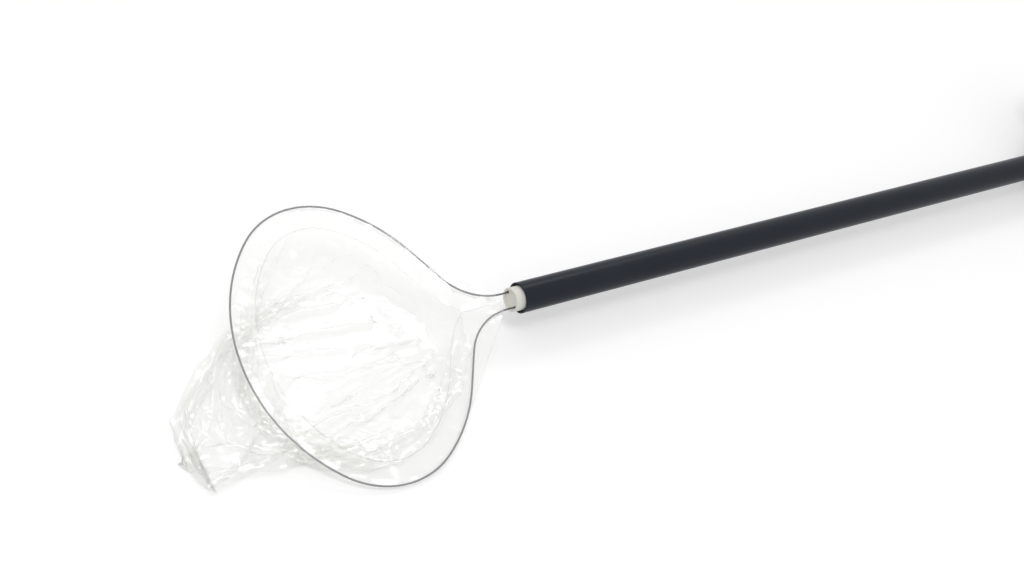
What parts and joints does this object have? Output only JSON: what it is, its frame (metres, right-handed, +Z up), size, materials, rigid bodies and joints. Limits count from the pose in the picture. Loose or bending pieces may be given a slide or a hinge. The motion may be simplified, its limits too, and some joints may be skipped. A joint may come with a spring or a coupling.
{
  "type": "retrieval bag",
  "caption": "Clear film bag hemmed on a springy wire hoop that folds into a slim tube when the thumb ring of its push rod is pulled back.",
  "frame": {"origin": "on the tube's axis at its mouth", "axes": "+X along the tube from its mouth to the thumb ring, +Z up from the table the tool lies on; the hoop and the finger rings lie in one plane that leans 15 degrees about +X"},
  "size_m": [0.5008, 0.0908, 0.026],
  "materials": {
    "tube_black": "satin extruded",
    "grip_black": "fine moulded texture",
    "ivory": "smooth moulded",
    "spring_wire": "drawn",
    "bright_steel": "turned",
    "seal_grey": "matt",
    "clear_film": "clear thin film"
  },
  "bodies": {
    "sleeve": {"outer_tube": "tube_black", "nose_cap": "grip_black", "tube_flange": "ivory", "grip_body": "grip_black", "grip_cover": "grip_black", "grip_screws": "bright_steel", "rod_bush": "ivory", "rod_seal": "seal_grey", "rear_cap": "grip_black", "mouth_hem": "clear_film", "film_bag": "clear_film"},
    "rod": {"push_rod": "ivory", "loop_holder": "ivory", "holder_pin": "bright_steel", "hoop_wire": "spring_wire", "wire_ferrules": "bright_steel", "rod_guide": "ivory", "rod_stop": "ivory", "stop_pin": "bright_steel", "thumb_ring": "ivory", "thumb_pin": "bright_steel"}
  },
  "joints": [
    {"name": "rod_slide", "type": "slide", "parent": "sleeve", "child": "rod", "axis": [1, 0, 0], "range_m": [0, 0.097], "deforming": ["hoop_wire"]}
  ]
}
